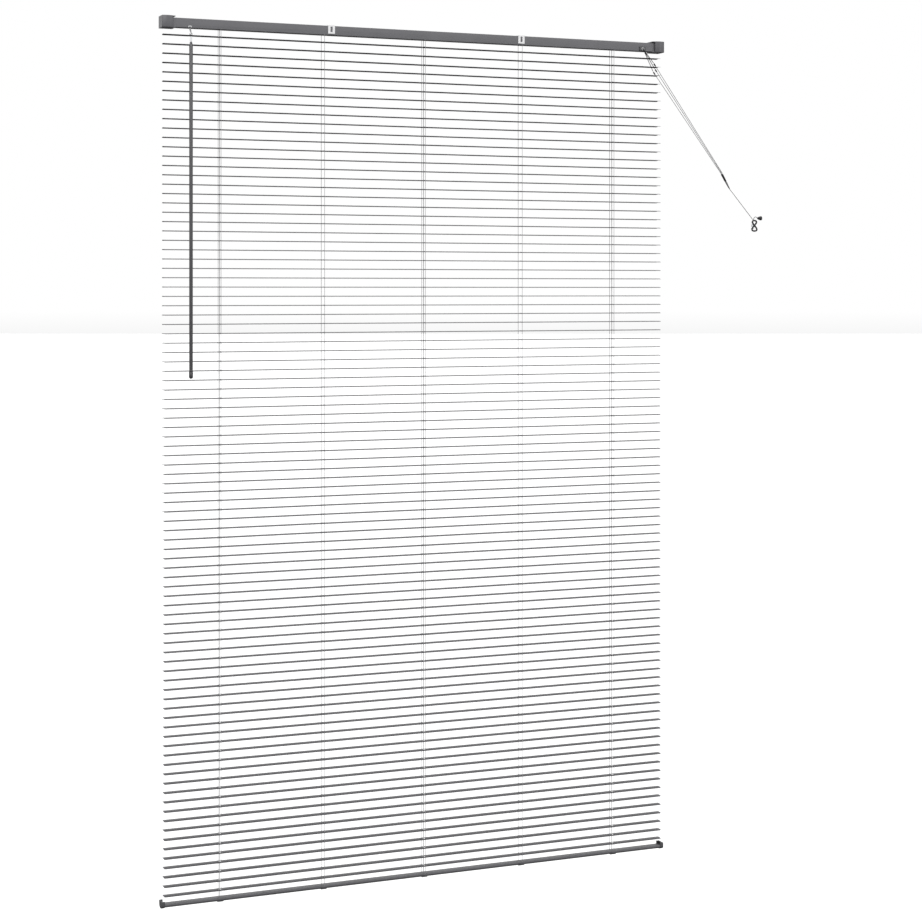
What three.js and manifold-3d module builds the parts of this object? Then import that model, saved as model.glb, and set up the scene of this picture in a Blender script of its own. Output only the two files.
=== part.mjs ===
// Venetian blind, 1400 mm wide and about 2200 mm high, with 25 mm slats, hung from box brackets.
// Millimetres, +Z up, +X along the headrail, -Y towards the room.
// The origin is the middle of the left bracket's top face.
import * as THREE from "three";
import { mergeVertices } from "three/addons/utils/BufferGeometryUtils.js";
import Module from "manifold-3d";

const wasm = await Module();
wasm.setup();

// Driving dimensions.
const BLIND_WIDTH = 1400;
const BRACKET = { width: 34, back: 18, front: 16, height: 29.6, wall: 1.7 };
const LEFT_EDGE = -BRACKET.width / 2;
const RIGHT_EDGE = LEFT_EDGE + BLIND_WIDTH;
const MIDDLE_X = (LEFT_EDGE + RIGHT_EDGE) / 2;
const GAP = 0.3;
const COVER = { thick: 1.7, width: 27, pivotY: -17.45, bulge: 3.2 };
const HEADRAIL = { depth: 25, height: 23, wall: 0.8, lip: 4, top: -4.5, inset: 2.5 };
const HEADRAIL_BOTTOM = HEADRAIL.top - HEADRAIL.height;
const FLOOR = HEADRAIL_BOTTOM + HEADRAIL.wall + GAP;
const CENTRE_CLIPS = [425, 957];
const LADDERS = [-549, -276.5, 0, 276.5, 549].map((offset) => MIDDLE_X + offset);
const SLAT = { width: 25, crown: 2, thick: 0.3, start: LEFT_EDGE + 6, length: BLIND_WIDTH - 12 };
const FIRST_SLAT_Z = -46.4;
const PITCH = 23.165;
const BANKS = [14, 13, 13, 13, 13, 13, 14];
const CORD = 1.4;
const ROD = { z: -16.5, radius: 3.46, start: 40, end: 1255 };
const DRUM = { radius: 8, length: 10, bore: 3.9 };
const CRADLE = { length: 22, width: 22.4, height: 14 };
const TILTER = { x: 55, length: 26, top: -7.5 };
const WORM = { top: [TILTER.x, -5, -19.5], eye: [TILTER.x, -20.5, -43.5], radius: 2 };
const WAND = { y: -20.5, radius: 5.2, linkTop: -50, top: -64, tip: -878, end: -898, tipRadius: 5.5 };
const LOCK = { x: 1319, halfLength: 15, top: -9.5, noseY: -15 };
const RAIL = { top: -2196.2, bottom: -2205, depth: 25, edge: 2, wall: 1.2, endInset: 8 };
const RAIL_CAP = { top: -2188.5, bottom: -2206.5, depth: 26.4, length: 8 };
const BUTTON = { width: 13, thick: 1.5 };

// The pull cords: through the lock's nose, three break-away connectors, a joiner and one tail to the cleat.
const LOCK_EXIT = [1319, -16.4, -22];
const CONNECTORS = [
  [1349, -22, -61],
  [1356, -16, -76],
  [1349, -19, -84],
];
const CONNECTOR_LENGTH = 9;
const LEAD_BACKOFF = 1.6;
const JOINER = { top: [1571, -5, -356], bottom: [1597, -3, -397], radius: 3.2 };
const CLEAT = { x: 1683.5, y: 8, top: -481, lobe: 9.3, hole: 4.4, thick: 6, wallY: 18 };
const TASSEL = { x: 1699, y: 7, z: -476.8, radius: 6, length: 13 };

// Materials.
const finish = (color, roughness, metalness = 0) =>
  new THREE.MeshStandardMaterial({ color, roughness, metalness });
const PAINT = () => finish(0x7b7a7f, 0.45, 0.3);
const WHITE = () => finish(0xf0f0f0, 0.5);
const DARK = () => finish(0x232326, 0.5);
const CLEAR = () => finish(0xdfe3e6, 0.2);
const STRING = () => finish(0xb9b9bc, 0.85);
const STEEL = () => finish(0xa9abae, 0.35, 0.9);

const blind = new THREE.Group();

// Geometry as a manifold solid.
function solid(geometry) {
  const bare = geometry.clone();
  bare.deleteAttribute("normal");
  bare.deleteAttribute("uv");
  const merged = mergeVertices(bare, 1e-4);
  return new wasm.Manifold(
    new wasm.Mesh({
      numProp: 3,
      vertProperties: new Float32Array(merged.attributes.position.array),
      triVerts: new Uint32Array(merged.index.array),
    }),
  );
}

// A manifold solid as geometry.
function geometryOf(shape) {
  const mesh = shape.getMesh();
  return new THREE.BufferGeometry()
    .setAttribute("position", new THREE.BufferAttribute(mesh.vertProperties, 3))
    .setIndex(new THREE.BufferAttribute(mesh.triVerts, 1));
}

// Adds one named mesh to the blind.
function piece(name, shape, material) {
  const geometry = shape.isBufferGeometry ? shape : geometryOf(shape);
  const mesh = new THREE.Mesh(geometry, material);
  mesh.name = name;
  blind.add(mesh);
  return mesh;
}

// A box between two corners.
function box(low, high) {
  const size = high.map((value, axis) => value - low[axis]);
  const middle = high.map((value, axis) => (value + low[axis]) / 2);
  return solid(new THREE.BoxGeometry(...size).translate(...middle));
}

// A round bar from one point to another.
function bar(from, to, radius, sides = 12, endRadius = radius) {
  const start = new THREE.Vector3(...from);
  const along = new THREE.Vector3(...to).sub(start);
  const turn = new THREE.Quaternion().setFromUnitVectors(
    new THREE.Vector3(0, 1, 0),
    along.clone().normalize(),
  );
  const geometry = new THREE.CylinderGeometry(endRadius, radius, along.length(), sides)
    .applyQuaternion(turn)
    .translate(...start.addScaledVector(along, 0.5).toArray());
  return solid(geometry);
}

// A YZ outline extruded along +X.
function alongX(outline, start, length, hole) {
  const shape = new THREE.Shape(outline.map(([y, z]) => new THREE.Vector2(y, z)));
  if (hole) {
    shape.holes.push(new THREE.Path(hole.map(([y, z]) => new THREE.Vector2(y, z))));
  }
  const axes = new THREE.Matrix4().makeBasis(
    new THREE.Vector3(0, 1, 0),
    new THREE.Vector3(0, 0, 1),
    new THREE.Vector3(1, 0, 0),
  );
  const options = { depth: length, bevelEnabled: false, curveSegments: 6 };
  return new THREE.ExtrudeGeometry(shape, options).applyMatrix4(axes).translate(start, 0, 0);
}

// An XY outline extruded along +Z.
function alongZ(outline, start, length) {
  const shape = new THREE.Shape(outline.map(([x, y]) => new THREE.Vector2(x, y)));
  const options = { depth: length, bevelEnabled: false };
  return new THREE.ExtrudeGeometry(shape, options).translate(0, 0, start);
}

// A cord through hand-placed points, as an eight-sided tube.
function cord(points, diameter, steps) {
  const route = new THREE.CatmullRomCurve3(points.map((point) => new THREE.Vector3(...point)));
  const section = new THREE.Shape();
  for (let side = 0; side < 8; side += 1) {
    const angle = (side * Math.PI) / 4;
    const place = [(Math.cos(angle) * diameter) / 2, (Math.sin(angle) * diameter) / 2];
    if (side === 0) section.moveTo(...place);
    else section.lineTo(...place);
  }
  return new THREE.ExtrudeGeometry(section, { extrudePath: route, steps, bevelEnabled: false });
}

// Box brackets at both ends, each with a hinged front cover. side is -1 at the left and 1 at the right.
function endBracket(side, label) {
  const outer = side < 0 ? LEFT_EDGE : RIGHT_EDGE;
  const inner = outer - side * BRACKET.width;
  const [low, high] = [Math.min(outer, inner), Math.max(outer, inner)];
  const shell = box([low, -BRACKET.front, -BRACKET.height], [high, BRACKET.back, 0]);
  const pocketLow = side < 0 ? low + BRACKET.wall : low - 1;
  const pocketHigh = side < 0 ? high + 1 : high - BRACKET.wall;
  const pocket = box(
    [pocketLow, -BRACKET.front - 1, -BRACKET.height + BRACKET.wall],
    [pocketHigh, BRACKET.back - 2, -2],
  );
  const screwX = (low + high) / 2;
  const wallScrew = bar([screwX, 10, -24], [screwX, 30, -24], 2.2);
  const ceilingScrew = bar([screwX, 10, -10], [screwX, 10, 5], 2.2);
  piece(`end_bracket_${label}`, shell.subtract(pocket).subtract(wallScrew).subtract(ceilingScrew), PAINT());

  const coverInner = outer - side * COVER.width;
  const [coverLow, coverHigh] = [Math.min(outer, coverInner), Math.max(outer, coverInner)];
  const back = COVER.pivotY + COVER.thick / 2;
  const plan = [[coverHigh, back], [coverLow, back]];
  for (let step = 0; step <= 8; step += 1) {
    const share = step / 8;
    const swell = COVER.thick + COVER.bulge * Math.sin(Math.PI * share);
    plan.push([coverLow + share * (coverHigh - coverLow), back - swell]);
  }
  piece(`bracket_cover_${label}`, alongZ(plan, -BRACKET.height, BRACKET.height), PAINT());
}

// Support clips that hook over the headrail between its ends.
function centreBracket(x, label) {
  const outline = [
    [-14, HEADRAIL_BOTTOM + 3],
    [-12.8, HEADRAIL_BOTTOM + 3],
    [-12.8, HEADRAIL.top + 0.4],
    [16.5, HEADRAIL.top + 0.4],
    [16.5, HEADRAIL_BOTTOM + 1],
    [18, HEADRAIL_BOTTOM + 1],
    [18, 0],
    [16.5, 0],
    [16.5, HEADRAIL.top + 2],
    [-14, HEADRAIL.top + 2],
  ];
  const clip = solid(alongX(outline, x - 9, 18));
  const slot = box([x - 2.8, -15, HEADRAIL_BOTTOM + 7], [x + 2.8, -12, HEADRAIL.top - 2]);
  piece(`centre_bracket_${label}`, clip.subtract(slot), WHITE());
}

// The U channel with turned-in lips, its ladder holes, wand notch and cord lock mouth.
function headrail() {
  const half = HEADRAIL.depth / 2;
  const inside = half - HEADRAIL.wall;
  const low = HEADRAIL_BOTTOM;
  const top = HEADRAIL.top;
  const outline = [
    [-half, low],
    [half, low],
    [half, top],
    [half - HEADRAIL.lip, top],
    [half - HEADRAIL.lip, top - HEADRAIL.wall],
    [inside, top - HEADRAIL.wall],
    [inside, low + HEADRAIL.wall],
    [-inside, low + HEADRAIL.wall],
    [-inside, top - HEADRAIL.wall],
    [-half + HEADRAIL.lip, top - HEADRAIL.wall],
    [-half + HEADRAIL.lip, top],
    [-half, top],
  ];
  const start = LEFT_EDGE + HEADRAIL.inset;
  let channel = solid(alongX(outline, start, BLIND_WIDTH - 2 * HEADRAIL.inset));
  for (const x of LADDERS) {
    channel = channel.subtract(box([x - 4, -9, low - 1], [x + 4, 9, low + 2]));
  }
  const notch = box([TILTER.x - 4.5, -14, low - 1], [TILTER.x + 4.5, -6.5, low + 6]);
  const mouth = box([LOCK.x - 9.5, -14, low - 1], [LOCK.x + 9.5, -8, low + 12]);
  piece("headrail", channel.subtract(notch).subtract(mouth), PAINT());
}

// Tilt rod, and at each ladder a drum on the rod and the cradle under it.
function tiltRod() {
  piece("tilt_rod", bar([ROD.start, 0, ROD.z], [ROD.end, 0, ROD.z], ROD.radius, 6), STEEL());
  LADDERS.forEach((x, index) => {
    const half = DRUM.length / 2;
    const rim = bar([x - half, 0, ROD.z], [x + half, 0, ROD.z], DRUM.radius, 16);
    const bore = bar([x - half - 1, 0, ROD.z], [x + half + 1, 0, ROD.z], DRUM.bore, 6);
    const key = box([x - 1.5, -DRUM.radius - 1, ROD.z - 1], [x + 1.5, -DRUM.radius + 1.5, ROD.z + 1]);
    piece(`tilt_drum_${index + 1}`, rim.subtract(bore).subtract(key), WHITE());

    const end = CRADLE.length / 2;
    const side = CRADLE.width / 2;
    const block = box([x - end, -side, FLOOR], [x + end, side, FLOOR + CRADLE.height]);
    const pocket = box([x - half - 0.7, -9.2, ROD.z - 8.8], [x + half + 0.7, 9.2, ROD.z + 10]);
    const saddle = box([x - end - 1, -4.2, ROD.z - 4.2], [x + end + 1, 4.2, ROD.z + 10]);
    const cordSlot = box([x - 2.5, -8.5, FLOOR - 1], [x + 2.5, 8.5, FLOOR + 4]);
    const cradle = block.subtract(pocket).subtract(saddle).subtract(cordSlot);
    piece(`drum_cradle_${index + 1}`, cradle, WHITE());
  });
}

// The worm tilter: its housing, the worm with its eye, the clear link, the wand and the wand's tip.
function tilter() {
  const half = TILTER.length / 2;
  const block = box([TILTER.x - half, -10.8, FLOOR], [TILTER.x + half, 11.2, TILTER.top]);
  const rodBore = bar([TILTER.x - half - 1, 0, ROD.z], [TILTER.x + half + 1, 0, ROD.z], 4.2);
  const axis = new THREE.Vector3(...WORM.eye).sub(new THREE.Vector3(...WORM.top)).normalize();
  const above = new THREE.Vector3(...WORM.top).addScaledVector(axis, -1);
  const wormBore = bar(above.toArray(), WORM.eye, WORM.radius + 0.6);
  piece("tilter_housing", block.subtract(rodBore).subtract(wormBore), WHITE());

  const shaft = bar([WORM.top[0], WORM.top[1] - 3, WORM.top[2] - 5.14], WORM.eye, WORM.radius);
  const [x, y, z] = WORM.eye;
  const ring = bar([x, y - 1, z - 1], [x, y + 1, z - 1], 3.6);
  const hole = bar([x, y - 3, z - 1], [x, y + 3, z - 1], 1.8);
  piece("tilter_worm", shaft.add(ring).subtract(hole), STEEL());

  const link = bar([x, WAND.y, WAND.top + GAP], [x, WAND.y, WAND.linkTop], 2.8);
  piece("wand_link", link, CLEAR());
  const stem = bar([x, WAND.y, WAND.tip + GAP], [x, WAND.y, WAND.top - 6], WAND.radius, 6);
  const neck = bar([x, WAND.y, WAND.top - 6.1], [x, WAND.y, WAND.top], WAND.radius, 6, 3.1);
  piece("wand", stem.add(neck), finish(0x4f4e52, 0.35));
  const cap = bar([x, WAND.y, WAND.tip - 16], [x, WAND.y, WAND.tip], WAND.tipRadius);
  const foot = bar([x, WAND.y, WAND.end], [x, WAND.y, WAND.tip - 15.9], 3.2, 12, WAND.tipRadius);
  piece("wand_tip", cap.add(foot), finish(0x5c5b60, 0.5));
}

// The cord lock in the headrail's mouth, with its knurled roller.
function cordLock() {
  const { x, halfLength, top, noseY } = LOCK;
  const block = box([x - halfLength, -11.2, FLOOR], [x + halfLength, 9, top]);
  const nose = box([x - 9, noseY, FLOOR], [x + 9, -10, HEADRAIL_BOTTOM + 11.5]);
  const throatTop = HEADRAIL_BOTTOM + 8;
  const throat = box([x - 3, noseY - 1, HEADRAIL_BOTTOM + 3], [x + 3, 10, throatTop]);
  const well = box([x - 7, -9, throatTop + 0.1], [x + 7, -1, top + 1]);
  const drop = box([x - 3, -8, throatTop - 1], [x + 3, -2, ROD.z]);
  piece("cord_lock_body", block.add(nose).subtract(throat).subtract(well).subtract(drop), DARK());
  piece("cord_lock_roller", bar([x - 6.4, -5, throatTop + 4], [x + 6.4, -5, throatTop + 4], 3.2), STEEL());
}

// One slat: a thin crowned strip.
function slat(z) {
  const half = SLAT.width / 2;
  const points = [-1, -0.4, 0.4, 1].map((t) => [t * half, SLAT.crown * (1 - t * t)]);
  const upper = points.map(([y, rise]) => [y, z + rise]).reverse();
  const lower = points.map(([y, rise]) => [y, z + rise - SLAT.thick]);
  return solid(alongX([...lower, ...upper], SLAT.start, SLAT.length));
}

// Banks of slats, each held together by the stretch of lift cord that runs through it,
// and in front of each bank the middle ladder's front strand.
function slatBanks() {
  let index = 0;
  BANKS.forEach((count, bank) => {
    const top = FIRST_SLAT_Z - index * PITCH;
    const low = top - count * PITCH + SLAT.crown + GAP;
    const cordTop = bank === 0 ? FLOOR + 0.5 : top + SLAT.crown - SLAT.thick / 2;
    const last = bank === BANKS.length - 1;
    const cordLow = last ? top - (count - 1) * PITCH : low;
    const half = CORD / 2;
    let shape = box([MIDDLE_X - half, -half, cordLow], [MIDDLE_X + half, half, cordTop]);
    for (let n = 0; n < count; n += 1) shape = shape.add(slat(top - n * PITCH));
    piece(`slat_bank_${bank + 1}`, shape, PAINT());

    const front = -SLAT.width / 2 - GAP;
    const strandLow = last ? RAIL.top + 3 : top - count * PITCH + GAP;
    const strandTop = bank === 0 ? HEADRAIL_BOTTOM - 1 : top;
    const strand = box([MIDDLE_X - 0.6, front - 1, strandLow], [MIDDLE_X + 0.6, front, strandTop]);
    piece(`ladder_strand_${bank + 1}`, strand, STRING());
    index += count;
  });
}

// The bottom rail, its end caps, the ladder clips that wrap it and the end of the middle lift cord.
function bottomRail() {
  const half = RAIL.depth / 2;
  const ring = (inset) => {
    const belly = RAIL.top - RAIL.edge - RAIL.bottom - inset;
    const arc = Array.from({ length: 11 }, (_, step) => {
      const angle = Math.PI * (1 + step / 10);
      const across = (half - inset) * Math.cos(angle);
      return [across, RAIL.top - RAIL.edge + belly * Math.sin(angle)];
    });
    return [[-half + inset, RAIL.top - inset], ...arc, [half - inset, RAIL.top - inset]];
  };
  const start = LEFT_EDGE + RAIL.endInset + GAP;
  const length = BLIND_WIDTH - 2 * (RAIL.endInset + GAP);
  piece("bottom_rail", alongX(ring(0), start, length, ring(RAIL.wall)), PAINT());
  const capHalf = RAIL_CAP.depth / 2;
  for (const [label, low] of [["left", LEFT_EDGE], ["right", RIGHT_EDGE - RAIL_CAP.length]]) {
    const cap = box(
      [low, -capHalf, RAIL_CAP.bottom],
      [low + RAIL_CAP.length, capHalf, RAIL_CAP.top],
    );
    piece(`bottom_rail_cap_${label}`, cap, finish(0x57565a, 0.5));
  }
  LADDERS.forEach((x, index) => {
    const front = -half - GAP;
    const low = RAIL.bottom - GAP;
    const shoulder = RAIL.top - RAIL.edge;
    const quarter = (reach, drop) =>
      Array.from({ length: 6 }, (_, step) => {
        const angle = (Math.PI / 2) * (step / 5);
        return [-reach * Math.cos(angle), shoulder - drop * Math.sin(angle)];
      });
    const outer = quarter(-front + BUTTON.thick, shoulder - low + BUTTON.thick);
    const inner = quarter(-front, shoulder - low);
    const outline = [
      [front - BUTTON.thick, RAIL.top],
      ...outer,
      ...inner.reverse(),
      [front, RAIL.top],
    ];
    piece(`cord_button_${index + 1}`, alongX(outline, x - BUTTON.width / 2, BUTTON.width), PAINT());
  });
  const slatCount = BANKS.reduce((sum, count) => sum + count, 0);
  const top = FIRST_SLAT_Z - (slatCount - 1) * PITCH - 1;
  const end = box([MIDDLE_X - 0.7, -0.7, RAIL.top + GAP], [MIDDLE_X + 0.7, 0.7, top]);
  piece("lift_cord_end", end, STRING());
}

// Where two points meet with a small gap: the point at a share of the way.
function between(from, to, distance) {
  const start = new THREE.Vector3(...from);
  const along = new THREE.Vector3(...to).sub(start).normalize();
  return start.addScaledVector(along, distance).toArray();
}

// The pull cords from the lock to the cleat.
function pullCords() {
  let leads = null;
  CONNECTORS.forEach((place, index) => {
    const lead = bar(LOCK_EXIT, between(place, LOCK_EXIT, LEAD_BACKOFF), 0.9, 8);
    leads = leads ? leads.add(lead) : lead;
    const target = JOINER.top;
    const connectorStart = between(place, target, GAP);
    const connectorEnd = between(place, target, CONNECTOR_LENGTH);
    const connector = bar(connectorStart, connectorEnd, 2, 8);
    piece(`break_away_connector_${index + 1}`, connector, DARK());
    const spread = (1 - index) * 1.9;
    const joinerEnd = [target[0] + spread * 0.8, target[1], target[2] + GAP * 4 + spread * 0.6];
    const cordStart = between(place, target, CONNECTOR_LENGTH + GAP);
    piece(`pull_cord_${index + 1}`, cord([cordStart, joinerEnd], 1.4, 1), STRING());
  });
  piece("cord_leads", leads, finish(0x4a4a4d, 0.8));
  const joiner = bar(JOINER.bottom, JOINER.top, 1.5, 12, JOINER.radius);
  piece("cord_joiner", joiner, DARK());
  const tailEnd = [CLEAT.x - 6.5, CLEAT.y - 1, CLEAT.top + 0.8];
  const tailStart = between(JOINER.bottom, tailEnd, GAP);
  piece("pull_cord_tail", cord([tailStart, tailEnd], 1.6, 1), STRING());
}

// The figure-eight cleat on its wall post, and the tassel that ends the cord.
function cleat() {
  const { x, y, top, lobe, hole, thick, wallY } = CLEAT;
  let plate = null;
  for (const drop of [lobe, 2.65 * lobe]) {
    const z = top - drop;
    const disc = bar([x, y - thick / 2, z], [x, y + thick / 2, z], lobe, 16);
    plate = plate ? plate.add(disc) : disc;
  }
  for (const drop of [lobe, 2.65 * lobe]) {
    const z = top - drop;
    plate = plate.subtract(bar([x, y - thick, z], [x, y + thick, z], hole));
  }
  const waist = top - 1.82 * lobe;
  const post = bar([x, y + thick / 2 - 0.5, waist], [x, wallY - 2, waist], 4);
  const base = box([x - 5, wallY - 2.2, waist - 9], [x + 5, wallY, waist + 9]);
  piece("wall_cleat", plate.add(post).add(base), DARK());
  const knob = bar(
    [TASSEL.x - TASSEL.length / 2, TASSEL.y, TASSEL.z],
    [TASSEL.x + TASSEL.length / 2, TASSEL.y, TASSEL.z],
    3.6,
    12,
    TASSEL.radius,
  );
  piece("cord_tassel", knob, DARK());
}

endBracket(-1, "left");
endBracket(1, "right");
CENTRE_CLIPS.forEach((x, index) => centreBracket(x, ["left", "right"][index]));
headrail();
tiltRod();
tilter();
cordLock();
slatBanks();
bottomRail();
pullCords();
cleat();

export default blind;
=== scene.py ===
"""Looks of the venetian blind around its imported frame. Metres, +Z up, -Y towards the room."""

import math

import bmesh
import bpy
from mathutils import Matrix, Vector


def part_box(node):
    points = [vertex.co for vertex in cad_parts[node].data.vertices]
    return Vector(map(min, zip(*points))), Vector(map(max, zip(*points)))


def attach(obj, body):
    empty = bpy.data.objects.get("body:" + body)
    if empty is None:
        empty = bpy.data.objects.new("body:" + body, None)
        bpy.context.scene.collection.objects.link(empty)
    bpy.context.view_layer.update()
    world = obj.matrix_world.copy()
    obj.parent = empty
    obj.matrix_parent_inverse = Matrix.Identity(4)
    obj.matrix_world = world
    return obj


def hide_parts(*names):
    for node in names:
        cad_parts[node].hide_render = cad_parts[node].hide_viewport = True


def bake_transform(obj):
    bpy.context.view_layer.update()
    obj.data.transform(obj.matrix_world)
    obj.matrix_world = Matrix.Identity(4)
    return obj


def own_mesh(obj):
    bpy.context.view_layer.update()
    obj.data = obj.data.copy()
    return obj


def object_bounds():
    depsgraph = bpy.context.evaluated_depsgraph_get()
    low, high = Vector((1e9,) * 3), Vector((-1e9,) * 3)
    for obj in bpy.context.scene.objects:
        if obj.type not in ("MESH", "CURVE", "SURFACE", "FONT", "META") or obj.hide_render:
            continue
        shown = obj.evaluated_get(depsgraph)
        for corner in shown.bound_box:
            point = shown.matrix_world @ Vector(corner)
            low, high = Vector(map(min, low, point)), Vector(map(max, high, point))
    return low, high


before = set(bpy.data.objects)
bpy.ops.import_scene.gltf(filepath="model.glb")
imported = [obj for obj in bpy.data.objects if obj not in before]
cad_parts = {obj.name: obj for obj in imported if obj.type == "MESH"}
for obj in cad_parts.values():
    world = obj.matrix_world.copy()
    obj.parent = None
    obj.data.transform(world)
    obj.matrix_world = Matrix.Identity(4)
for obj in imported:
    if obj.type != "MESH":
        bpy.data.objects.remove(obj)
cad_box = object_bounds()
scene = bpy.context.scene


def node_box(name):
    """The lowest and highest corners of a CAD node, as vectors."""
    low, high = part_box(name)
    return Vector(low), Vector(high)


HEAD_LOW = node_box("headrail")[0]
RAIL_LOW, RAIL_HIGH = node_box("bottom_rail")
COVER_LOW, COVER_HIGH = node_box("bracket_cover_left")
SLAT_LOW, SLAT_HIGH = node_box("slat_bank_1")

# The camera stands level, to the left of the blind, with its view shifted down.
YAW = math.radians(22.79)
LENS = 78.97
SENSOR = 36
NEAR_EDGE_DISTANCE = 4.979
NEAR_EDGE_LEFT = 0.7345
EYE_DROP = 0.6806
SHIFT_DOWN = 0.1844


def make_camera():
    """A level camera, placed from the top front corner of the left bracket's cover."""
    forward = Vector((math.sin(YAW), math.cos(YAW), 0))
    right = Vector((math.cos(YAW), -math.sin(YAW), 0))
    corner = Vector((COVER_LOW.x, COVER_LOW.y, COVER_HIGH.z))
    data = bpy.data.cameras.new("camera")
    data.sensor_width = SENSOR
    data.lens = LENS
    data.shift_y = -SHIFT_DOWN
    data.clip_end = 100
    camera = bpy.data.objects.new("camera", data)
    camera.location = corner - NEAR_EDGE_DISTANCE * forward + NEAR_EDGE_LEFT * right
    camera.location.z = corner.z - EYE_DROP
    camera.rotation_euler = (math.radians(90), 0, -YAW)
    scene.collection.objects.link(camera)
    scene.camera = camera


# Materials.
def material(name, colour, roughness, metallic=0.0, grain=900, spread=0.08, bump=0.06, edge_paleness=0.25,
             stretch=(1, 1, 1), alpha=1.0, transmission=0.0):
    """A finish with fine grain, slow colour drift, uneven gloss and paler sharp edges."""
    made = bpy.data.materials.new(name)
    made.use_nodes = True
    nodes, links = made.node_tree.nodes, made.node_tree.links
    shader = nodes["Principled BSDF"]
    shader.inputs["Metallic"].default_value = metallic
    shader.inputs["Transmission Weight"].default_value = transmission
    shader.inputs["Alpha"].default_value = alpha
    place = nodes.new("ShaderNodeTexCoord")
    scaled = nodes.new("ShaderNodeMapping")
    scaled.inputs["Scale"].default_value = stretch
    links.new(place.outputs["Object"], scaled.inputs["Vector"])

    drift = nodes.new("ShaderNodeTexNoise")
    drift.inputs["Scale"].default_value = 14
    drift.inputs["Detail"].default_value = 4
    links.new(scaled.outputs["Vector"], drift.inputs["Vector"])
    fine = nodes.new("ShaderNodeTexNoise")
    fine.inputs["Scale"].default_value = grain
    fine.inputs["Detail"].default_value = 3
    links.new(scaled.outputs["Vector"], fine.inputs["Vector"])

    ramp = nodes.new("ShaderNodeValToRGB")
    ramp.color_ramp.elements[0].position = 0.3
    ramp.color_ramp.elements[1].position = 0.7
    ramp.color_ramp.elements[0].color = (*[c * (1 - spread) for c in colour], 1)
    ramp.color_ramp.elements[1].color = (*[min(1, c * (1 + spread)) for c in colour], 1)
    links.new(drift.outputs["Fac"], ramp.inputs["Fac"])

    # Colour mixed paler on sharply convex edges, by pointiness.
    geometry = nodes.new("ShaderNodeNewGeometry")
    edge = nodes.new("ShaderNodeMapRange")
    edge.inputs["From Min"].default_value = 0.52
    edge.inputs["From Max"].default_value = 0.62
    edge.inputs["To Max"].default_value = edge_paleness
    links.new(geometry.outputs["Pointiness"], edge.inputs["Value"])
    mix = nodes.new("ShaderNodeMix")
    mix.data_type = "RGBA"
    links.new(edge.outputs["Result"], mix.inputs["Factor"])
    links.new(ramp.outputs["Color"], mix.inputs[6])
    mix.inputs[7].default_value = (*[min(1, 0.12 + c * 1.4) for c in colour], 1)
    links.new(mix.outputs[2], shader.inputs["Base Color"])

    gloss = nodes.new("ShaderNodeMapRange")
    gloss.inputs["To Min"].default_value = max(0.05, roughness - 0.08)
    gloss.inputs["To Max"].default_value = min(1, roughness + 0.08)
    links.new(fine.outputs["Fac"], gloss.inputs["Value"])
    links.new(gloss.outputs["Result"], shader.inputs["Roughness"])

    relief = nodes.new("ShaderNodeBump")
    relief.inputs["Strength"].default_value = bump
    relief.inputs["Distance"].default_value = 0.0003
    links.new(fine.outputs["Fac"], relief.inputs["Height"])
    links.new(relief.outputs["Normal"], shader.inputs["Normal"])
    return made


def braid(name, colour, strand=900):
    """Twisted or braided cord: slanting bands in relief."""
    made = material(name, colour, 0.8, spread=0.05, edge_paleness=0)
    nodes, links = made.node_tree.nodes, made.node_tree.links
    wave = nodes.new("ShaderNodeTexWave")
    wave.bands_direction = "DIAGONAL"
    wave.inputs["Scale"].default_value = strand
    wave.inputs["Distortion"].default_value = 1.5
    links.new(nodes["Texture Coordinate"].outputs["Object"], wave.inputs["Vector"])
    relief = nodes["Bump"]
    relief.inputs["Strength"].default_value = 0.5
    links.new(wave.outputs["Fac"], relief.inputs["Height"])
    return made


PAINT = material("rail_paint", (0.118, 0.117, 0.126), 0.46, 0.2)
SLAT_PAINT = material("slat_paint", (0.1, 0.098, 0.106), 0.4, 0.3, stretch=(0.2, 1, 1))
CAP = material("cap_plastic", (0.06, 0.06, 0.064), 0.5)
WHITE = material("white_plastic", (0.85, 0.85, 0.86), 0.45, spread=0.02)
DARK = material("dark_plastic", (0.018, 0.018, 0.02), 0.35)
WAND = material("wand_plastic", (0.045, 0.044, 0.048), 0.3, grain=300)
CLEAR = material("clear_plastic", (0.8, 0.82, 0.84), 0.12, spread=0.02, alpha=0.55, transmission=0.6)
EYELET = material("bright_eyelet", (0.75, 0.75, 0.76), 0.3, 0.3)
CUP = material("grey_plastic", (0.16, 0.16, 0.165), 0.35)
STEEL = material("zinc_steel", (0.28, 0.285, 0.29), 0.34, 0.95)
STRING = braid("ladder_string", (0.3, 0.3, 0.31))
RUNG_STRING = braid("rung_string", (0.06, 0.06, 0.065))
LIFT_STRING = braid("lift_string", (0.24, 0.24, 0.25))
PULL_STRING = braid("pull_string", (0.13, 0.13, 0.137))
LEAD_STRING = braid("lead_string", (0.02, 0.02, 0.022))


# Mesh making.
def finished(name, mesh, look, body=None, stands_for=()):
    """A mesh as a piece that rides on a body and stands for CAD nodes."""
    made = bpy.data.objects.new(name, mesh)
    scene.collection.objects.link(made)
    mesh.materials.append(look)
    mesh.polygons.foreach_set("use_smooth", [True] * len(mesh.polygons))
    mesh.set_sharp_from_angle(angle=math.radians(35))
    if stands_for:
        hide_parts(*stands_for)
    if body:
        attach(made, body)
    return made


def mesh_of(bm, name):
    """A mesh made from a bmesh, with its faces turned outwards."""
    bmesh.ops.recalc_face_normals(bm, faces=bm.faces)
    mesh = bpy.data.meshes.new(name)
    bm.to_mesh(mesh)
    bm.free()
    return mesh


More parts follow.
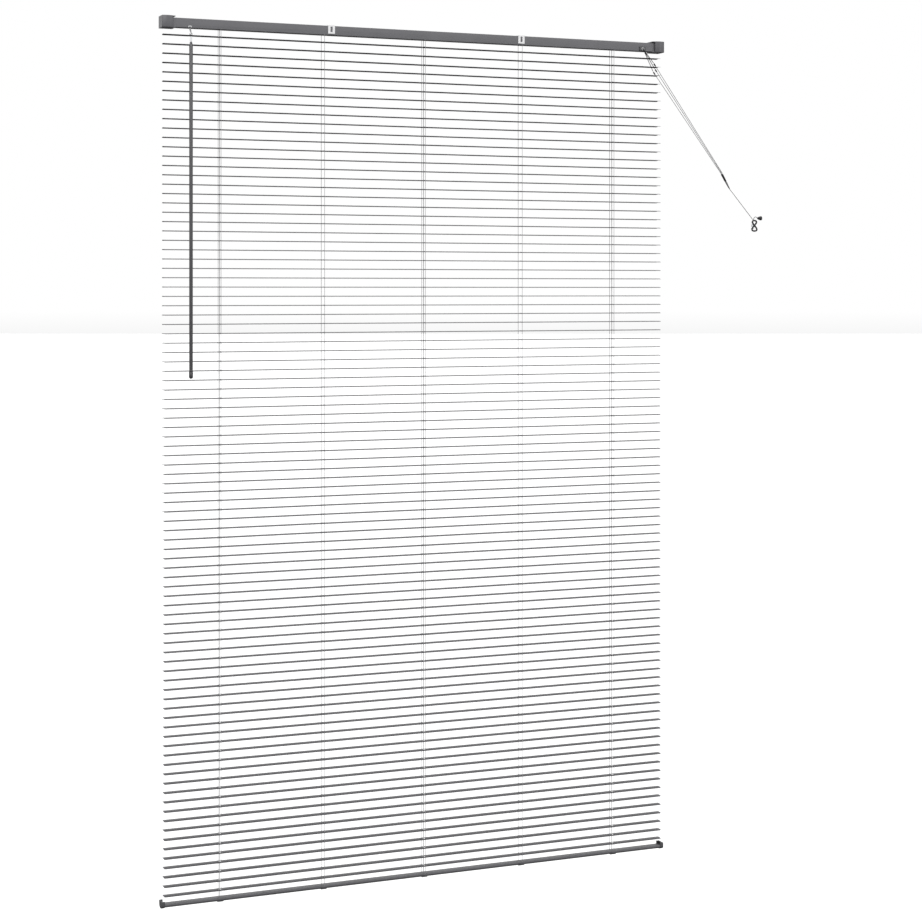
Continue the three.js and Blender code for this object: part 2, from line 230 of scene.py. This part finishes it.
def add_tube(bm, points, radius, sides=8, ends=True):
    """A tube through points, of one radius or a list of radii, added to bm."""
    points = [Vector(p) for p in points]
    radii = radius if isinstance(radius, (list, tuple)) else [radius] * len(points)
    rings = []
    across = None
    for n, point in enumerate(points):
        ahead = points[min(n + 1, len(points) - 1)] - points[max(n - 1, 0)]
        ahead.normalize()
        if across is None:
            across = ahead.orthogonal().normalized()
        across = (across - across.dot(ahead) * ahead).normalized()
        side = ahead.cross(across)
        ring = []
        for s in range(sides):
            turn = 2 * math.pi * s / sides
            place = point + radii[n] * (math.cos(turn) * across + math.sin(turn) * side)
            ring.append(bm.verts.new(place))
        rings.append(ring)
    for lower, upper in zip(rings, rings[1:]):
        for s in range(sides):
            after = (s + 1) % sides
            bm.faces.new((lower[s], lower[after], upper[after], upper[s]))
    if ends:
        bm.faces.new(list(reversed(rings[0])))
        bm.faces.new(rings[-1])


def turned(start, end, profile, sides=32):
    """A turned solid from start to end: profile is (share of the way, radius) pairs."""
    bm = bmesh.new()
    start, end = Vector(start), Vector(end)
    points = [start.lerp(end, share) for share, _ in profile]
    add_tube(bm, points, [radius for _, radius in profile], sides)
    return bm


def prism(outline, low_x, high_x):
    """A YZ outline stretched along X, as a bmesh."""
    bm = bmesh.new()
    ends = [[bm.verts.new((x, y, z)) for y, z in outline] for x in (low_x, high_x)]
    bm.faces.new(ends[0])
    bm.faces.new(list(reversed(ends[1])))
    for n in range(len(outline)):
        after = (n + 1) % len(outline)
        bm.faces.new((ends[0][n], ends[1][n], ends[1][after], ends[0][after]))
    return bm


def rounded(bm, width, segments=3):
    """Bevels every edge sharper than 30 degrees."""
    edges = [e for e in bm.edges if len(e.link_faces) == 2 and e.calc_face_angle() > math.radians(30)]
    bmesh.ops.bevel(bm, geom=edges, offset=width, segments=segments, affect="EDGES", profile=0.5)
    return bm


def block(low, high):
    """A box between two corners, as a bmesh."""
    bm = bmesh.new()
    bmesh.ops.create_cube(bm, size=1)
    low, high = Vector(low), Vector(high)
    size = high - low
    middle = (low + high) / 2
    bm.transform(Matrix.Translation(middle) @ Matrix.Diagonal((*size, 1)))
    return bm


def cut(target, bm):
    """Subtracts a bmesh from a piece, now."""
    tool = bpy.data.objects.new("tool", mesh_of(bm, "tool"))
    scene.collection.objects.link(tool)
    modifier = target.modifiers.new("cut", "BOOLEAN")
    modifier.object = tool
    modifier.solver = "EXACT"
    bpy.context.view_layer.update()
    result = bpy.data.meshes.new_from_object(
        target.evaluated_get(bpy.context.evaluated_depsgraph_get()))
    target.modifiers.clear()
    target.data = result
    bpy.data.objects.remove(tool)


# The pull cords: the same route as in the CAD model.
LOCK_EXIT = Vector((1.319, -0.0164, -0.022))
CONNECTORS = [
    Vector((1.349, -0.022, -0.061)),
    Vector((1.356, -0.016, -0.076)),
    Vector((1.349, -0.019, -0.084)),
]
CONNECTOR_LENGTH = 0.009
LEAD_BACKOFF = 0.0016
CORD_GAP = 0.0003
JOINER_TOP = Vector((1.571, -0.005, -0.356))
JOINER_BOTTOM = Vector((1.597, -0.003, -0.397))
JOINER_SPREAD = 0.0019
TAIL_END = Vector((1.677, 0.007, -0.4802))
LEAD_DIAMETER = 0.0018
PULL_DIAMETER = 0.0014
TAIL_DIAMETER = 0.0016
CORD_POINTS = 16


def towards(start, end, distance):
    """The point a distance from start on the way to end."""
    return start + (end - start).normalized() * distance


def taut_cord(name, start, end, diameter, look, stands_for):
    """A straight free cord as a poly curve."""
    data = bpy.data.curves.new(name, "CURVE")
    data.dimensions = "3D"
    data.bevel_depth = diameter / 2
    data.bevel_resolution = 3
    data.use_fill_caps = True
    spline = data.splines.new("POLY")
    spline.points.add(CORD_POINTS - 1)
    for n in range(CORD_POINTS):
        spline.points[n].co = (*start.lerp(end, n / (CORD_POINTS - 1)), 1)
    made = bpy.data.objects.new(name, data)
    scene.collection.objects.link(made)
    data.materials.append(look)
    if stands_for:
        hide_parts(stands_for)
    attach(made, "root")
    return made


def make_pull_cords():
    """The joiner and its cup, then each lead, its connector and its pull cord, then the tail."""
    waist = JOINER_TOP.lerp(JOINER_BOTTOM, 0.5)
    joiner = finished(
        "cord_joiner_body",
        mesh_of(turned(JOINER_TOP, waist, [
            (0, 0.0026), (0.05, 0.0031), (0.3, 0.0032), (0.8, 0.003), (0.95, 0.0028), (1, 0.0022)], 24),
            "cord_joiner_body"),
        DARK, "root", ["cord_joiner"])
    finished(
        "cord_joiner_cup",
        mesh_of(turned(waist, JOINER_BOTTOM, [
            (0, 0.0021), (0.04, 0.0026), (0.3, 0.0025), (0.9, 0.0016), (1, 0.0011)], 24), "cord_joiner_cup"),
        CUP, "root", ["cord_joiner"])
    for n, place in enumerate(CONNECTORS):
        stop = towards(place, JOINER_TOP, CONNECTOR_LENGTH)
        connector = finished(
            f"break_away_{n + 1}",
            mesh_of(turned(towards(place, JOINER_TOP, CORD_GAP), stop, [
                (0, 0.0012), (0.06, 0.0018), (0.42, 0.002), (0.46, 0.0015), (0.54, 0.0015), (0.58, 0.002),
                (0.94, 0.0017), (1, 0.001)], 20), f"break_away_{n + 1}"),
            DARK, "root", [f"break_away_connector_{n + 1}"])
        taut_cord(f"lead_cord_{n + 1}", LOCK_EXIT, towards(place, LOCK_EXIT, LEAD_BACKOFF),
                  LEAD_DIAMETER, LEAD_STRING, "cord_leads")
        offset = (1 - n) * JOINER_SPREAD
        end = JOINER_TOP + Vector((0.8 * offset, 0, 0.6 * offset + 4 * CORD_GAP))
        taut_cord(f"pull_string_{n + 1}", towards(place, JOINER_TOP, CONNECTOR_LENGTH + CORD_GAP), end,
                  PULL_DIAMETER, PULL_STRING, f"pull_cord_{n + 1}")
    taut_cord("pull_string_tail", towards(JOINER_BOTTOM, TAIL_END, CORD_GAP), TAIL_END,
              TAIL_DIAMETER, PULL_STRING, "pull_cord_tail")


make_camera()
make_pull_cords()


CLEAT_TUBE = 0.0023
CLEAT_WIDER = 1.02
CLEAT_STAND = 0.003
CLEAT_TWIST = 0.0014
CLEAT_STEPS = 64
TASSEL_CORD_RADIUS = 0.0008
TASSEL_CORD_RISE = 0.006
TASSEL_CORD_STEPS = 16


def make_cleat():
    """The dark figure-eight cleat on its post and base."""
    low, high = node_box("wall_cleat")
    middle_x = (low.x + high.x) / 2
    lobe = (high.x - low.x) / 2
    front = low.y
    height = high.z - low.z
    radius = lobe - CLEAT_TUBE
    upper = high.z - lobe
    lower = low.z + lobe
    bm = bmesh.new()
    points = []
    waist = (upper + lower) / 2
    reach = height / 2 - CLEAT_TUBE
    for n in range(CLEAT_STEPS):
        turn = 2 * math.pi * n / CLEAT_STEPS
        across = math.sin(2 * turn) * radius * CLEAT_WIDER
        lift = math.cos(turn) * reach
        depth = front + CLEAT_STAND + CLEAT_TWIST * math.sin(turn)
        points.append(Vector((middle_x + across, depth, waist + lift)))
    points.append(points[0])
    add_tube(bm, points, CLEAT_TUBE, 12, ends=False)
    bmesh.ops.remove_doubles(bm, verts=bm.verts, dist=1e-5)
    finished("cleat_figure_eight", mesh_of(bm, "cleat_figure_eight"), DARK,
             "root", ["wall_cleat"])
    post = turned((middle_x, front + 0.002, waist), (middle_x, high.y - 0.002, waist),
                  [(0, 0.0026), (0.1, 0.0036), (0.85, 0.0036), (1, 0.0046)], 24)
    finished("cleat_post", mesh_of(post, "cleat_post"), CLEAR, "root", ["wall_cleat"])
    plate = rounded(block((middle_x - 0.005, high.y - 0.0022, waist - 0.009),
                          (middle_x + 0.005, high.y, waist + 0.009)), 0.0008)
    finished("cleat_base", mesh_of(plate, "cleat_base"), CLEAR, "root", ["wall_cleat"])


def make_tassel():
    """The tassel and the short cord that arches to it from the cleat."""
    low, high = node_box("wall_cleat")
    middle_x = (low.x + high.x) / 2
    t_low, t_high = node_box("cord_tassel")
    centre = (t_low + t_high) / 2
    radius = (t_high.z - t_low.z) / 2
    tassel = turned((t_low.x, centre.y, centre.z), (t_high.x, centre.y, centre.z), [
        (0, 0.0015), (0.04, 0.0026), (0.2, 0.0036), (0.45, 0.0048), (0.75, radius * 0.98),
        (0.9, radius), (0.97, radius * 0.9), (1, radius * 0.6)], 32)
    finished("tassel", mesh_of(tassel, "tassel"), DARK, "root", ["cord_tassel"])
    bm = bmesh.new()
    arc_start = Vector((middle_x - 0.006, low.y + 0.001, high.z - 0.001))
    arc_end = Vector((t_low.x, centre.y, centre.z))
    points = []
    for n in range(TASSEL_CORD_STEPS + 1):
        share = n / TASSEL_CORD_STEPS
        rise = TASSEL_CORD_RISE * math.sin(math.pi * share)
        points.append(arc_start.lerp(arc_end, share) + Vector((0, 0, rise)))
    add_tube(bm, points, TASSEL_CORD_RADIUS, 10)
    finished("tassel_cord", mesh_of(bm, "tassel_cord"), PULL_STRING, "root", ())


# Slats and ladders.
BANK_COUNTS = [14, 13, 13, 13, 13, 13, 14]
FIRST_SLAT_Z = -0.0464
PITCH = 0.023165
SLAT_HALF = 0.0125
CROWN = 0.002
SLAT_THICK = 0.00024
STRAND_Y = SLAT_HALF + 0.0006
STRAND_RADIUS = 0.00055
RUNG_RADIUS = 0.0003
RUNG_STEPS = 6
RUNG_PAIR = ((-0.0011, -0.00055), (0.0011, 0.00035))
LIFT_CORD_RADIUS = 0.0007
MIDDLE_X = (RAIL_LOW.x + RAIL_HIGH.x) / 2
LADDERS = [MIDDLE_X + offset for offset in (-0.549, -0.2765, 0, 0.2765, 0.549)]
LIFT_LADDERS = (0, 2, 4)
ROUT_HALF = (0.0025, 0.006)


def crown(y):
    """How far the slat's crown rises above its edges at a depth."""
    return CROWN * (1 - (y / SLAT_HALF) ** 2)


def slat_template():
    """One crowned slat at height zero, with rounded corners and routed holes for the lift cords."""
    low_x, high_x = SLAT_LOW.x, SLAT_HIGH.x
    corner = 0.004
    ys = [-1, -0.96, -0.8, -0.48, -0.16, 0.16, 0.48, 0.8, 0.96, 1]
    ys = [y * SLAT_HALF for y in ys]
    ends = [corner * (1 - math.cos(math.pi / 2 * n / 4)) for n in range(5)]
    xs = [low_x + e for e in ends] + [high_x - e for e in ends]
    for ladder in LIFT_LADDERS:
        xs += [LADDERS[ladder] - ROUT_HALF[0], LADDERS[ladder] + ROUT_HALF[0]]
    xs += [low_x + (high_x - low_x) * n / 12 for n in range(1, 12) if n != 6]
    xs = sorted(xs)
    bm = bmesh.new()
    grid = {}
    for i, x in enumerate(xs):
        inset = min(x - low_x, high_x - x)
        narrowing = 0
        if inset < corner:
            narrowing = corner - math.sqrt(max(0, corner ** 2 - (corner - inset) ** 2))
        for j, y in enumerate(ys):
            limit = SLAT_HALF - narrowing
            place = y * limit / SLAT_HALF
            grid[i, j] = bm.verts.new((x, place, crown(place)))
    hole_spans = [(LADDERS[n] - ROUT_HALF[0], LADDERS[n] + ROUT_HALF[0]) for n in LIFT_LADDERS]
    for i in range(len(xs) - 1):
        middle = (xs[i] + xs[i + 1]) / 2
        open_here = any(a < middle < b for a, b in hole_spans)
        for j in range(len(ys) - 1):
            if open_here and abs((ys[j] + ys[j + 1]) / 2) < ROUT_HALF[1]:
                continue
            bm.faces.new((grid[i, j], grid[i + 1, j], grid[i + 1, j + 1], grid[i, j + 1]))
    made = bpy.data.objects.new("template", mesh_of(bm, "template"))
    scene.collection.objects.link(made)
    solidify = made.modifiers.new("thickness", "SOLIDIFY")
    solidify.thickness = SLAT_THICK
    bpy.context.view_layer.update()
    mesh = bpy.data.meshes.new_from_object(made.evaluated_get(bpy.context.evaluated_depsgraph_get()))
    bpy.data.objects.remove(made)
    return mesh


def blend_across(piece):
    """Bakes a piece's placement into its mesh."""
    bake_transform(piece)


def make_slats():
    """Every slat, as its own copy of the template."""
    template = slat_template()
    index = 0
    for bank, count in enumerate(BANK_COUNTS):
        for n in range(count):
            mesh = template.copy()
            mesh.transform(Matrix.Translation((0, 0, FIRST_SLAT_Z - index * PITCH)))
            name = f"slat_{index + 1:02d}"
            made = finished(name, mesh, SLAT_PAINT, None, [f"slat_bank_{bank + 1}"])
            blend_across(made)
            index += 1


def make_ladders():
    """Each ladder's strands and double rungs, one piece for each bank."""
    index = 0
    head_bottom = HEAD_LOW.z
    for bank, count in enumerate(BANK_COUNTS):
        top = FIRST_SLAT_Z - index * PITCH
        last = bank == len(BANK_COUNTS) - 1
        strand_top = head_bottom + 0.002 if bank == 0 else top
        strand_low = RAIL_HIGH.z - 0.004 if last else top - count * PITCH
        for ladder, x in enumerate(LADDERS):
            bm = bmesh.new()
            for side in (-1, 1):
                y = side * STRAND_Y
                add_tube(bm, [(x, y, strand_top), (x, y, strand_low)], STRAND_RADIUS, 8)
            strand_faces = len(bm.faces)
            for n in range(count):
                z = top - n * PITCH
                for shift, lift in RUNG_PAIR:
                    points = []
                    for step in range(RUNG_STEPS + 1):
                        y = -STRAND_Y + 2 * STRAND_Y * step / RUNG_STEPS
                        pull = 1 if 0 < step < RUNG_STEPS else 0
                        points.append((x + shift * pull, y, z + crown(min(abs(y), SLAT_HALF)) + lift))
                    add_tube(bm, points, RUNG_RADIUS, 5)
            for face in list(bm.faces)[strand_faces:]:
                face.material_index = 1
            name = f"ladder_{ladder + 1}_stretch_{bank + 1}"
            nodes = [f"ladder_strand_{bank + 1}"] if ladder == 2 else []
            made = finished(name, mesh_of(bm, name), STRING, None, nodes)
            made.data.materials.append(RUNG_STRING)
            blend_across(made)
        index += count


def make_lift_cords():
    """Three lift cords from the headrail to the bottom rail."""
    top = HEAD_LOW.z + 0.003
    low = RAIL_HIGH.z - 0.001
    for n, ladder in enumerate(LIFT_LADDERS):
        x = LADDERS[ladder]
        bm = bmesh.new()
        add_tube(bm, [(x, 0, top), (x, 0, low)], LIFT_CORD_RADIUS, 10)
        name = f"lift_cord_{n + 1}"
        nodes = ["lift_cord_end"] if ladder == 2 else []
        made = finished(name, mesh_of(bm, name), LIFT_STRING, "root", nodes)
        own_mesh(made)


# Rails, brackets and hardware.
RAIL_EDGE = 0.002
CLIP_GAP = 0.0003
CLIP_THICK = 0.0015
CLIP_EDGE = 0.0005
CAP_EDGE = 0.0007
NOTCH_DEEP = 0.005
NOTCH_WALL = 0.003
NOTCH_FLOOR = 0.001
NOTCH_ABOVE = 0.01


def belly_arc(reach, shoulder, drop, turns=20, share=1.0):
    """Points from the back edge (+Y) under the rail to the front, as a half ellipse."""
    points = []
    for n in range(turns + 1):
        turn = math.pi * (1 - share + share * n / turns)
        points.append((reach * math.cos(turn), shoulder - drop * math.sin(turn)))
    return points


def make_bottom_rail():
    """The rail with its crowned belly, end caps and the clips that hold the ladders."""
    half = (RAIL_HIGH.y - RAIL_LOW.y) / 2
    top, low = RAIL_HIGH.z, RAIL_LOW.z
    shoulder = top - RAIL_EDGE
    soft = 0.0006
    outline = [(-half, top - soft), (-half + soft / 3, top - soft / 3), (-half + soft, top)]
    outline += [(half - soft, top), (half - soft / 3, top - soft / 3), (half, top - soft)]
    outline += belly_arc(half, shoulder, shoulder - low)
    bm = prism(outline, RAIL_LOW.x, RAIL_HIGH.x)
    finished("bottom_rail_skin", mesh_of(bm, "bottom_rail_skin"), PAINT,
             "bottom_rail", ["bottom_rail"])
    for label in ("left", "right"):
        c_low, c_high = node_box(f"bottom_rail_cap_{label}")
        reach = (c_high.y - c_low.y) / 2
        outline = [(-reach, c_high.z), (reach, c_high.z)]
        outline += belly_arc(reach, shoulder, shoulder - c_low.z)
        bm = rounded(prism(outline, c_low.x, c_high.x), CAP_EDGE, 3)
        cap = finished(f"rail_cap_{label}", mesh_of(bm, "cap"), CAP,
                       "bottom_rail", [f"bottom_rail_cap_{label}"])
        inner = c_high.x if label == "left" else c_low.x
        notch = block((inner - NOTCH_DEEP, -half + NOTCH_WALL, top + NOTCH_FLOOR),
                      (inner + NOTCH_DEEP, half - NOTCH_WALL, c_high.z + NOTCH_ABOVE))
        cut(cap, notch)
    for n, x in enumerate(LADDERS):
        node = f"cord_button_{n + 1}"
        b_low, b_high = node_box(node)
        inner = half + CLIP_GAP
        outer = inner + CLIP_THICK
        under = shoulder - low + CLIP_GAP
        outline = [(-inner, top), (-outer, top)]
        outline += list(reversed(belly_arc(outer, shoulder, under + CLIP_THICK, 12, 0.5)))
        outline += belly_arc(inner, shoulder, under, 12, 0.5)
        bm = rounded(prism(outline, b_low.x, b_high.x), CLIP_EDGE, 2)
        finished(f"ladder_clip_{n + 1}", mesh_of(bm, "clip"), PAINT, "bottom_rail", [node])


HOOK_WIRE = 0.0012


def make_wand():
    """Hex wand with its neck and tip, the clear link, and the hook in the link."""
    low, high = node_box("wand")
    x, y = (low.x + high.x) / 2, (low.y + high.y) / 2
    radius = (high.x - low.x) / 2
    bm = turned((x, y, low.z), (x, y, high.z), [
        (0, radius * 0.92), (0.002, radius), (0.988, radius), (0.996, radius * 0.72), (1, radius * 0.6)], 6)
    bm = rounded(bm, 0.0004, 2)
    finished("wand_stem", mesh_of(bm, "wand_stem"), WAND, "wand", ["wand"])
    t_low, t_high = node_box("wand_tip")
    tip = turned((x, y, t_high.z), (x, y, t_low.z), [
        (0, 0.0046), (0.03, 0.0051), (0.1, 0.0051), (0.13, 0.0047), (0.17, 0.0047), (0.2, 0.0051),
        (0.75, 0.0051), (0.88, 0.0045), (0.96, 0.0032), (1, 0.0014)], 32)
    finished("wand_end_cap", mesh_of(tip, "wand_end_cap"), WAND, "wand", ["wand_tip"])
    l_low, l_high = node_box("wand_link")
    link = turned((x, y, l_low.z), (x, y, l_high.z), [
        (0, 0.0022), (0.05, 0.0027), (0.2, 0.0028), (0.8, 0.0028), (0.95, 0.0025), (1, 0.0019)], 24)
    finished("clear_link", mesh_of(link, "clear_link"), CLEAR, "wand_hanger", ["wand_link"])
    bm = bmesh.new()
    w_low, w_high = node_box("tilter_worm")
    shaft_top = Vector((x, w_high.y - 0.001, w_high.z - 0.001))
    loop = 0.0027
    loop_middle = w_low.z + loop + HOOK_WIRE
    eye = Vector((x, y, loop_middle + loop))
    points = [shaft_top, shaft_top.lerp(eye, 0.5), eye]
    for n in range(1, 12):
        turn = math.radians(90 - 330 * n / 12)
        points.append(Vector((x + loop * math.cos(turn), y, loop_middle + loop * math.sin(turn))))
    add_tube(bm, points, HOOK_WIRE, 10)
    collar = turned(shaft_top, shaft_top.lerp(eye, 0.85), [(0, 0.002), (0.9, 0.0019), (1, 0.0014)], 20)
    mesh = bpy.data.meshes.new("collar")
    collar.to_mesh(mesh)
    collar.free()
    bm.from_mesh(mesh)
    finished("tilter_hook", mesh_of(bm, "tilter_hook"), STEEL, "tilter_worm", ["tilter_worm"])


def dress_cad_nodes():
    """Softened edges and finishes on the CAD nodes that are shown as they are."""
    looks = {
        "headrail": (PAINT, 0.0004),
        "end_bracket": (PAINT, 0.0007),
        "centre_bracket": (WHITE, 0.0004),
        "drum_cradle": (WHITE, 0.0005),
        "tilt_drum": (WHITE, 0.0005),
        "tilter_housing": (WHITE, 0.0006),
        "cord_lock_body": (CAP, 0.0004),
        "cord_lock_roller": (STEEL, 0.0003),
        "tilt_rod": (STEEL, 0.0002),
    }
    for name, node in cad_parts.items():
        for start, (look, width) in looks.items():
            if not name.startswith(start):
                continue
            node.data.materials.clear()
            node.data.materials.append(look)
            bevel = node.modifiers.new("soft_edges", "BEVEL")
            bevel.width = width
            bevel.segments = 2
            bevel.limit_method = "ANGLE"
            bevel.angle_limit = math.radians(40)
            bevel.use_clamp_overlap = True


COVER_THICK = 0.0017
COVER_EDGE = 0.0006
COVER_STEPS = 24


def make_covers():
    """Bowed bracket covers with soft edges."""
    for side in ("left", "right"):
        node = f"bracket_cover_{side}"
        low, high = node_box(node)
        back = high.y
        bulge = back - low.y - COVER_THICK
        bm = bmesh.new()
        plan = [(high.x, back), (low.x, back)]
        for n in range(COVER_STEPS + 1):
            share = n / COVER_STEPS
            swell = COVER_THICK + bulge * math.sin(math.pi * share)
            plan.append((low.x + share * (high.x - low.x), back - swell))
        ends = [[bm.verts.new((x, y, z)) for x, y in plan] for z in (low.z, high.z)]
        bm.faces.new(ends[0])
        bm.faces.new(list(reversed(ends[1])))
        for n in range(len(plan)):
            after = (n + 1) % len(plan)
            bm.faces.new((ends[0][n], ends[1][n], ends[1][after], ends[0][after]))
        bmesh.ops.recalc_face_normals(bm, faces=bm.faces)
        edges = [e for e in bm.edges if len(e.link_faces) == 2 and e.calc_face_angle() > math.radians(50)]
        bmesh.ops.bevel(bm, geom=edges, offset=COVER_EDGE, segments=3, affect="EDGES", profile=0.5)
        finished(f"cover_{side}_shell", mesh_of(bm, "cover"), PAINT, f"cover_{side}", [node])


EYELET_HALF_WIDTH = 0.0028
EYELET_HALF_HEIGHT = 0.0033
EYELET_WIRE = 0.0008
EYELET_STEPS = 32


def make_eyelet():
    """The bright eyelet in the cord lock's nose."""
    bm = bmesh.new()
    centre = Vector((LOCK_EXIT.x, LOCK_EXIT.y + EYELET_WIRE, LOCK_EXIT.z))
    points = []
    for n in range(EYELET_STEPS + 1):
        turn = 2 * math.pi * n / EYELET_STEPS
        out = Vector((EYELET_HALF_WIDTH * math.cos(turn), 0, EYELET_HALF_HEIGHT * math.sin(turn)))
        points.append(centre + out)
    add_tube(bm, points, EYELET_WIRE, 12, ends=False)
    bmesh.ops.remove_doubles(bm, verts=bm.verts, dist=1e-6)
    finished("lock_eyelet", mesh_of(bm, "lock_eyelet"), EYELET, "root", ())


FLOOR_SIZE = 400
FLOOR_DROP = 0.6


def studio_world():
    """White light from above and around, and little from below the horizon."""
    world = bpy.data.worlds.new("studio")
    world.use_nodes = True
    nodes, links = world.node_tree.nodes, world.node_tree.links
    place = nodes.new("ShaderNodeTexCoord")
    split = nodes.new("ShaderNodeSeparateXYZ")
    links.new(place.outputs["Generated"], split.inputs["Vector"])
    level = nodes.new("ShaderNodeMapRange")
    level.inputs["From Min"].default_value = -0.15
    level.inputs["From Max"].default_value = -0.01
    level.inputs["To Min"].default_value = 0.1
    level.inputs["To Max"].default_value = 1.0
    links.new(split.outputs["Z"], level.inputs["Value"])
    links.new(level.outputs["Result"], nodes["Background"].inputs["Strength"])
    nodes["Background"].inputs["Color"].default_value = (1, 1, 1, 1)
    return world


def make_stage():
    """The pale floor, the two soft lights and the world."""
    half = FLOOR_SIZE / 2
    bm = bmesh.new()
    height = cad_box[0][2] - FLOOR_DROP
    corners = [(-half, -half), (half, -half), (half, half), (-half, half)]
    bm.faces.new([bm.verts.new((x, y, height)) for x, y in corners])
    pale = material("floor", (0.93, 0.93, 0.93), 0.9, spread=0.01, edge_paleness=0, bump=0)
    shader = pale.node_tree.nodes["Principled BSDF"]
    shader.inputs["Emission Color"].default_value = (1, 1, 1, 1)
    shader.inputs["Emission Strength"].default_value = 0.3
    floor = bpy.data.objects.new("floor", mesh_of(bm, "floor"))
    floor.data.materials.append(pale)
    scene.collection.objects.link(floor)
    floor.visible_diffuse = False
    floor.visible_glossy = False
    scene.world = studio_world()
    for name, place, energy, size in (
        ("key", (-1.6, -3.5, 1.6), 60, 2.5),
        ("fill", (3.5, -3.0, 0.4), 25, 3),
    ):
        data = bpy.data.lights.new(name, "AREA")
        data.energy = energy
        data.size = size
        light = bpy.data.objects.new(name, data)
        light.location = place
        aim = Vector((0.7, 0, -1.0)) - Vector(place)
        light.rotation_euler = aim.to_track_quat("-Z", "Y").to_euler()
        scene.collection.objects.link(light)
    scene.view_settings.view_transform = "Standard"


make_cleat()
make_tassel()
make_slats()
make_ladders()
make_lift_cords()
make_bottom_rail()
make_wand()
make_covers()
dress_cad_nodes()
make_eyelet()
make_stage()
